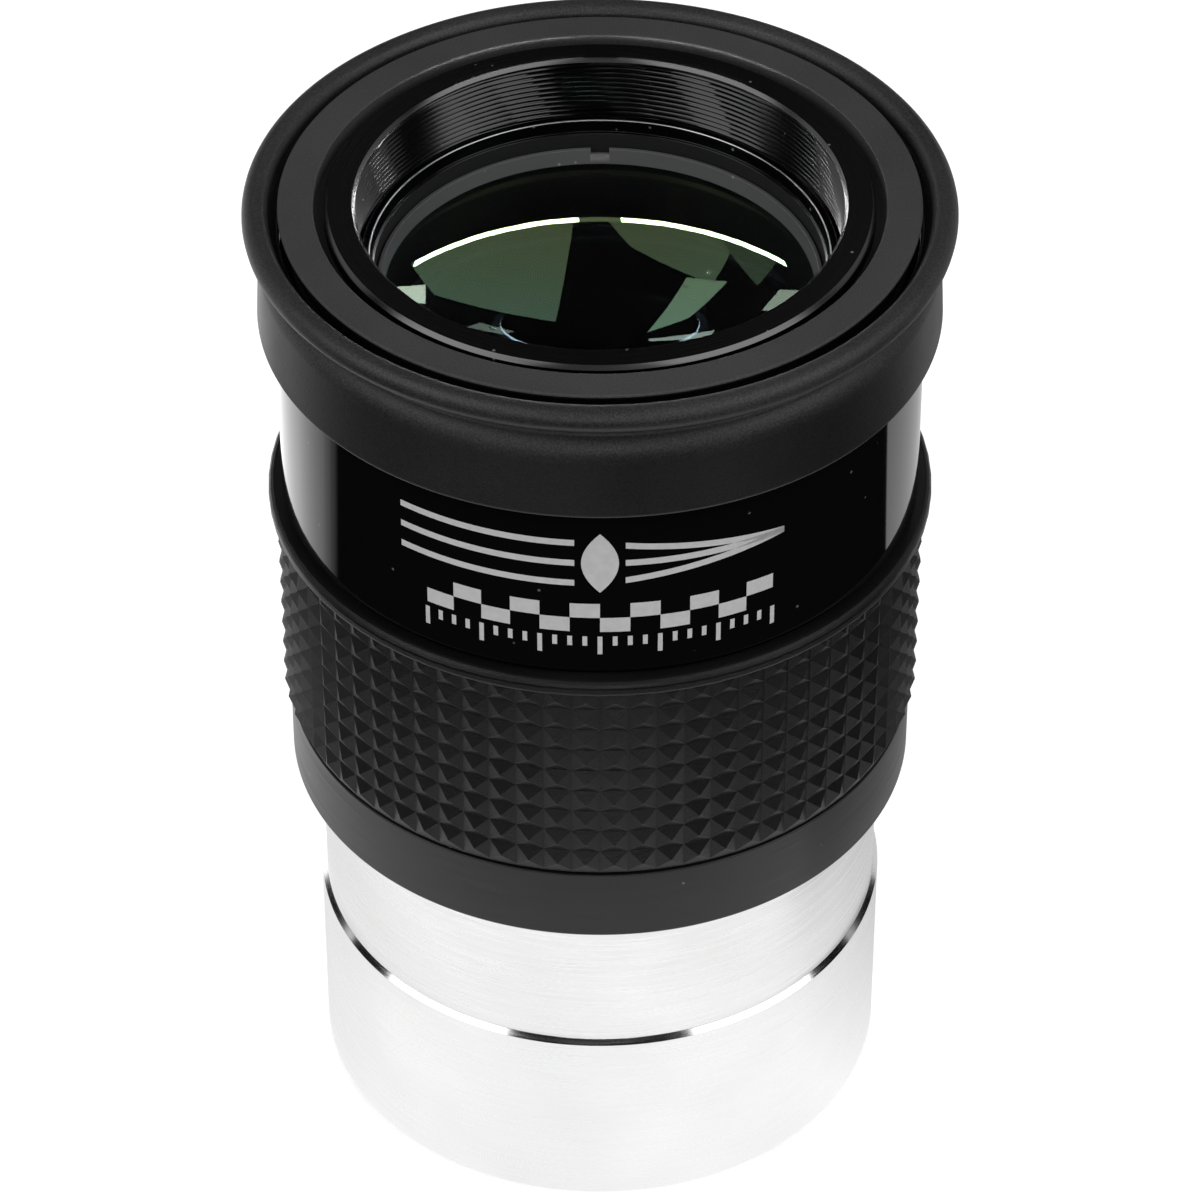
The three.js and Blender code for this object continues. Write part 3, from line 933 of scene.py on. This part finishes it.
def make_lens_cell():
    """The stepped cup round the eye lens."""
    upper_r = 20.1
    wall_r = DOUBLET_R + 0.4
    step_z = 83.7
    seat_r = 17.4
    seat_z = CELL_BOTTOM + 1.1
    mouth_r = 19.35
    mouth_base_r = 19.2
    mouth_z = CELL_TOP - 1.1
    mouth_step = 0.1
    edge_round = 0.12
    outline = rounded([
        (seat_r, CELL_BOTTOM),
        (CELL_R, CELL_BOTTOM),
        (CELL_R, step_z),
        (upper_r, step_z),
        (upper_r, CELL_TOP, edge_round),
        (mouth_r, CELL_TOP, edge_round),
        (mouth_base_r, mouth_z, 0.05),
        (wall_r, mouth_z - mouth_step, 0.05),
        (wall_r, seat_z),
        (seat_r, seat_z),
    ])
    piece = lathe("eye_lens_cell", outline)
    finish_piece(piece, "eyepiece_body", "lens_cell", "gloss_black",
                 THREAD_BLACK, CELL_EDGE, INNER_BLACK)
    black_top = mouth_z - 0.15
    edge_width = edge_round + 0.01
    edge_lines = (upper_r, mouth_r)
    paint(piece, 2, lambda radius, z: z < black_top)
    paint(piece, 1, lambda radius, z: z > CELL_TOP - edge_width and
          min(abs(radius - line) for line in edge_lines) < edge_width)
    return piece


def make_eye_lens_retainer():
    """The bevelled ring over the eye lens, with its two spanner slots."""
    opening_r = 18.2
    bevel = 0.25
    underside = 0.15
    slot_width = 1.6
    slot_depth = 0.5
    outline = rounded([
        (opening_r, RETAINER_BOTTOM + underside, 0.03),
        (RETAINER_R, RETAINER_BOTTOM),
        (RETAINER_R, RETAINER_TOP, 0.05),
        (opening_r + bevel, RETAINER_TOP, 0.05),
    ])
    piece = lathe("eye_lens_ring", outline, flat_walls=False)
    slot_floor = RETAINER_TOP - slot_depth
    cut_box(piece, slot_width, 2 * RETAINER_R + 1, slot_floor, RETAINER_TOP + 1)
    keep_walls_flat(piece)
    return finish_piece(piece, "eyepiece_body", "eye_lens_retainer", "gloss_black", RETAINER_BLACK)


def make_lens(name, node, low_face, high_face, glass, cement_test=None):
    """A lens whose lower face starts on the axis and whose upper face ends there."""
    piece = lathe(name, low_face + high_face, smooth_angle=40, flat_walls=False)
    finish_piece(piece, "eyepiece_body", node, "coated_glass", glass, INNER_BLACK, CEMENT)
    rim_r = max(radius for radius, _ in high_face)
    paint(piece, 1, lambda radius, z: radius > rim_r - RIM_MARGIN)
    if cement_test:
        paint(piece, 2, cement_test)
    return piece


def make_lenses():
    """The cemented doublet at the eye end, hollow towards the eye, and the field lens."""
    eye_z = EYE_LENS_RIM - sagitta(EYE_LENS_CURVE, DOUBLET_R)
    cement_top = eye_z - FLINT_THICKNESS
    cement_low = cement_top - CEMENT_GAP
    tolerance = 0.08

    def on_cement(apex):
        def is_there(radius, z):
            fall = sagitta(CEMENT_CURVE, min(radius, DOUBLET_R))
            return radius < DOUBLET_R - RIM_MARGIN and abs(apex - fall - z) < tolerance
        return is_there

    flint_low = list(reversed(dome(cement_top, CEMENT_CURVE, DOUBLET_R, 1)))
    flint_high = dome(eye_z, EYE_LENS_CURVE, DOUBLET_R, -1)
    make_lens("eye_lens_front", "eye_lens_flint", flint_low, flint_high, FLINT_GLASS,
              on_cement(cement_top))
    crown_low = list(reversed(dome(cement_low - CROWN_THICKNESS, CROWN_CURVE, DOUBLET_R, -1)))
    crown_high = dome(cement_low, CEMENT_CURVE, DOUBLET_R, 1)
    make_lens("eye_lens_rear", "eye_lens_crown", crown_low, crown_high, CROWN_GLASS,
              on_cement(cement_low))
    rim_z = FIELD_LENS_BOTTOM + FIELD_LENS_EDGE
    field_top = rim_z + sagitta(FIELD_LENS_CURVE, FIELD_LENS_R)
    field_low = [(0, FIELD_LENS_BOTTOM), (FIELD_LENS_R, FIELD_LENS_BOTTOM)]
    field_high = dome(field_top, FIELD_LENS_CURVE, FIELD_LENS_R, 1)
    make_lens("field_lens_glass", "field_lens", field_low, field_high, FIELD_GLASS)


def make_inner_rings():
    """The spacer between the two lens groups, and the ring under the field lens."""
    edge_round = 0.1
    rings = [
        ("lens_spacer_tube", "lens_spacer", 18.8, SPACER_BOTTOM, SPACER_TOP),
        ("field_lens_ring", "field_lens_retainer", 19, FIELD_RETAINER_BOTTOM, FIELD_RETAINER_TOP),
    ]
    for name, node, bore_r, low_z, high_z in rings:
        ring = lathe(name, rounded([
            (bore_r, low_z, edge_round),
            (SPACER_R, low_z, edge_round),
            (SPACER_R, high_z, edge_round),
            (bore_r, high_z, edge_round),
        ]))
        finish_piece(ring, "eyepiece_body", node, "matt_black", INNER_BLACK)


# ---- Stage -----------------------------------------------------------------------------------

def direction(azimuth, elevation):
    """A unit vector. Azimuth 0 points from the object to the camera's side, and 90 to +X."""
    a = math.radians(azimuth)
    e = math.radians(elevation)
    return Vector((math.sin(a) * math.cos(e), -math.cos(a) * math.cos(e), math.sin(e)))


AIM = Vector((0, 0, 0.0495))


def make_camera():
    """A long lens, about 40 degrees above the horizon."""
    elevation = 39.93
    distance = 0.5
    data = bpy.data.cameras.new("camera")
    data.lens = 170
    data.sensor_width = 36
    data.clip_start = 0.01
    camera = bpy.data.objects.new("camera", data)
    camera.location = AIM + direction(0, elevation) * distance
    camera.rotation_euler = (math.radians(90 - elevation), 0, 0)
    bpy.context.scene.collection.objects.link(camera)
    bpy.context.scene.camera = camera


def softbox(name, azimuth, elevation, distance, width, height, watts):
    """An area light that faces the object, in metres and watts, unseen by the camera itself."""
    data = bpy.data.lights.new(name, "AREA")
    data.shape = "RECTANGLE"
    data.size = width
    data.size_y = height
    data.energy = watts
    light = bpy.data.objects.new(name, data)
    away = direction(azimuth, elevation)
    light.location = AIM + away * distance
    light.rotation_euler = away.to_track_quat("Z", "Y").to_euler()
    light.visible_camera = False
    bpy.context.scene.collection.objects.link(light)


def plain_material(name, colour, glow, tint=(1.0, 1.0, 1.0)):
    """A plain stage surface with a faint mottle, which may give light of its own."""
    surface = Surface(name, colour, 0.9, Emission_Color=(*tint, 1), Emission_Strength=glow,
                      Specular_IOR_Level=0.0)
    mottle_per_m = 9
    mottle = surface.noise(mottle_per_m, 2.0)
    shaded = tuple(value * 0.985 for value in colour)
    surface.colour_from(surface.colours(mottle, shaded, colour))
    return surface.material


def stage_mesh(name, points, faces):
    mesh = bpy.data.meshes.new(name)
    mesh.from_pydata(points, [], faces)
    return mesh


def make_floor():
    """A pale floor, far larger than the view, which gives no diffuse light to the object."""
    half = 3.0
    corners = [(-half, -half, 0), (half, -half, 0), (half, half, 0), (-half, half, 0)]
    floor = bpy.data.objects.new("floor", stage_mesh("floor", corners, [[0, 1, 2, 3]]))
    floor.data.materials.append(plain_material("floor_white", (0.5, 0.5, 0.5), 0.8))
    floor.visible_diffuse = False
    bpy.context.scene.collection.objects.link(floor)


def reflected(name, mesh, material):
    """A stage piece that shows in reflections and nowhere else."""
    stage_piece = bpy.data.objects.new(name, mesh)
    stage_piece.data.materials.append(material)
    bpy.context.scene.collection.objects.link(stage_piece)
    stage_piece.visible_camera = False
    stage_piece.visible_diffuse = False
    stage_piece.visible_shadow = False
    stage_piece.visible_transmission = False
    stage_piece.visible_volume_scatter = False


def strip_faces(count):
    """The faces of a strip whose points come in pairs, one pair for each column."""
    return [[2 * step, 2 * step + 1, 2 * step + 3, 2 * step + 2] for step in range(count - 1)]


# Cloths on the floor, which only reflections show: (inner radius, outer radius, stops), in metres.
# Each stop is (azimuth, light given off), and the light changes evenly from one to the next.
CLOTHS = {
    "outer_cloth": (0.084, 1.5, [(-155, 1.8), (-123, 1.4), (-106, 0.8), (-96, 0), (111, 0),
                                 (112, 0.7), (155, 0.7)]),
    "inner_cloth": (0.056, 0.084, [(67, 0.42), (150, 0.42)]),
    "barrel_cloth": (0.0255, 0.056, [(-180, 0.8), (-110, 0.9), (-60, 1.1), (60, 1.1),
                                     (110, 0.72), (180, 0.6)]),
}


def make_cloth(name, inner, outer, stops):
    """A sector of floor cloth with its own light, which keeps the black surfaces dark or pale."""
    spacing = 4
    lift = Vector((0, 0, 0.001))
    points = []
    glows = []
    for (start, start_glow), (end, end_glow) in zip(stops, stops[1:]):
        steps = max(1, math.ceil((end - start) / spacing))
        for step in range(steps + 1):
            share = step / steps
            ray = direction(start + (end - start) * share, 0)
            for radius in (inner, outer):
                points.append(ray * radius + lift)
                glows.append(start_glow + (end_glow - start_glow) * share)
    mesh = stage_mesh(name, points, strip_faces(len(points) // 2))
    attribute = mesh.attributes.new("glow", "FLOAT", "POINT")
    attribute.data.foreach_set("value", glows)
    surface = Surface(name, (0.002, 0.002, 0.002), 0.9, Specular_IOR_Level=0.0)
    reader = surface.add("ShaderNodeAttribute", attribute_name="glow")
    surface.shader.inputs["Emission Color"].default_value = (1, 1, 1, 1)
    surface.join(reader.outputs["Fac"], surface.shader.inputs["Emission Strength"])
    reflected(name, mesh, surface.material)


# Glowing cards behind the eyepiece, which only its reflections show: (corners, glow, tint). Each
# corner is (across, up) from the eye lens, as shares of the distance to the cards.
CARD_DISTANCE = 0.9
CARD_GREY = (0.5, 0.5, 0.5)
WHITE = (1.0, 1.0, 1.0)
WARM_WHITE = (1.0, 0.72, 0.88)
CARDS = {
    "panel_right": ([(0.05, 1.35), (0.05, 0.7), (0.2, 0.75), (0.35, 1.05), (0.35, 1.35)],
                    0.8, WHITE),
    "panel_left": ([(0, 1.35), (-0.05, 1.1), (-0.15, 0.85), (-0.2, 1), (-0.2, 1.35)], 0.7, WHITE),
    "panel_outer": ([(-0.2, 1.35), (-0.2, 0.8), (-0.25, 0.9), (-0.35, 1.35)], 0.3, WHITE),
    "panel_low": ([(-0.12, 0.9), (-0.05, 0.65), (-0.1, 0.7), (-0.17, 0.85)], 1.8, WHITE),
    "corner_right": ([(0.25, 0.74), (0.22, 0.79), (0.2, 0.7), (0.24, 0.67)], 9, WARM_WHITE),
    "corner_left": ([(-0.22, 0.76), (-0.24, 0.73), (-0.2, 0.67), (-0.18, 0.68)], 4, WARM_WHITE),
    "glint_right": ([(0.13, 0.66), (0.09, 0.64), (0.1, 0.62), (0.14, 0.63)], 1.5, WARM_WHITE),
    "glint_left": ([(-0.05, 0.62), (-0.05, 0.61), (-0.11, 0.6), (-0.12, 0.63)], 4, WARM_WHITE),
}


def make_card(name, corners, glow, tint):
    middle = Vector((0, 0, EYE_LENS_RIM * MM))
    points = [middle + Vector((across, 1, up)) * CARD_DISTANCE for across, up in corners]
    mesh = stage_mesh(name, points, [list(range(len(points)))])
    reflected(name, mesh, plain_material(name, CARD_GREY, glow, tint))


# Dim cards, high at the front and low behind the sides, which only reflections show: (first
# azimuth, last azimuth, lowest elevation, highest elevation, glow).
SKY_CARDS = {
    "sky_front": (-36, 36, 42, 61, 0.25),
    "sky_left": (-150, -104, 10, 35, 0.6),
    "sky_right": (104, 150, 10, 35, 0.4),
}


def make_bent_card(name, start, end, steps, radius, heights, glow):
    """A card that stands on a circle round the optical axis, between two heights."""
    points = []
    for step in range(steps + 1):
        ray = direction(start + (end - start) * step / steps, 0) * radius
        points += [ray + Vector((0, 0, height)) for height in heights]
    mesh = stage_mesh(name, points, strip_faces(steps + 1))
    reflected(name, mesh, plain_material(name, CARD_GREY, glow))


def make_sky_card(name, start, end, lowest, highest, glow):
    steps = 12
    radius = 1.4
    heights = [AIM.z + radius * math.tan(math.radians(angle)) for angle in (lowest, highest)]
    make_bent_card(name, start, end, steps, radius, heights, glow)


# Thin lit strips over the back of the eye ring's inner edge, for the eye lens to reflect; only
# reflections show them: (first azimuth, last azimuth, glow).
RIM_STRIPS = {
    "rim_strip_left": (184, 217, 60),
    "rim_strip_middle": (176, 184, 1.2),
    "rim_strip_right": (143, 176, 60),
}


def make_rim_strip(name, start, end, glow):
    steps = 24
    radius = (EYE_BORE_R + 0.35) * MM
    heights = [(EYE_RING_TOP + 0.05) * MM, (EYE_RING_TOP + 0.5) * MM]
    make_bent_card(name, start, end, steps, radius, heights, glow)


def make_world():
    """An even pale surround, left out of reflections."""
    world = bpy.data.worlds.new("surround")
    world.use_nodes = True
    background = world.node_tree.nodes["Background"]
    background.inputs["Color"].default_value = (1, 1, 1, 1)
    background.inputs["Strength"].default_value = 0.12
    world.cycles_visibility.glossy = False
    world.cycles_visibility.transmission = False
    bpy.context.scene.world = world


# Area lights: (azimuth, elevation, distance, width, height, watts).
SOFTBOXES = {
    "softbox_left": (-63, 42, 0.95, 0.75, 0.85, 4.5),
    "softbox_right": (63, 42, 0.95, 0.75, 0.85, 4.5),
    "softbox_front": (0, 24, 1.2, 0.6, 0.16, 2.2),
}


def make_stage():
    make_camera()
    make_world()
    make_floor()
    for make, table in (
            (make_cloth, CLOTHS),
            (make_card, CARDS),
            (make_rim_strip, RIM_STRIPS),
            (make_sky_card, SKY_CARDS),
            (softbox, SOFTBOXES),
    ):
        for name, values in table.items():
            make(name, *values)
    bpy.context.scene.view_settings.view_transform = "Standard"


# ---- Assembly --------------------------------------------------------------------------------

make_barrel()
make_lower_ring()
make_field_stop()
make_housing()
make_grip()
make_print()
make_eye_ring()
make_eyecup_collar()
make_eyecup_skirt()
make_eyecup_web()
make_lens_cell()
make_eye_lens_retainer()
make_lenses()
make_inner_rings()
make_stage()
